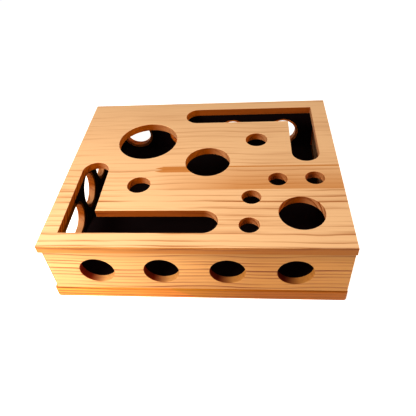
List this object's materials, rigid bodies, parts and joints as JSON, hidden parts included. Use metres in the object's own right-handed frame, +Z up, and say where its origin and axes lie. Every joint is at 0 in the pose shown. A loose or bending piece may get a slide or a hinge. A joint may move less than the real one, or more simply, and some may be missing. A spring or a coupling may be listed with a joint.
{
  "type": "cat scratcher puzzle box",
  "caption": "Flat pine box with round paw holes and L-shaped slots in its lift-off top and walls, a thicker base board and a dark scratch lining inside.",
  "frame": {"origin": "middle of the base board's underside, on the surface that the box stands on", "axes": "+Z up; the front faces -Y; +X to the right as seen from the front"},
  "size_m": [0.3, 0.25, 0.08],
  "materials": {
    "pine": "planed and sanded, unvarnished",
    "pine_base": "planed and sanded, unvarnished",
    "beech_dowel": "turned, unfinished",
    "black_felt": "needled felt",
    "zinc_steel": "zinc plated"
  },
  "bodies": {
    "box": {"front_wall": "pine", "back_wall": "pine", "left_wall": "pine", "right_wall": "pine", "corner_dowels": "beech_dowel", "base_board": "pine_base", "base_screws": "zinc_steel", "scratch_mat": "black_felt", "front_lining": "black_felt", "back_lining": "black_felt", "left_lining": "black_felt"},
    "lid": {"top_board": "pine", "locating_pegs": "beech_dowel"}
  },
  "joints": [
    {"name": "lid_lift", "type": "slide", "parent": "box", "child": "lid", "axis": [0, 0, 1], "range_m": [0, 0.06]}
  ]
}
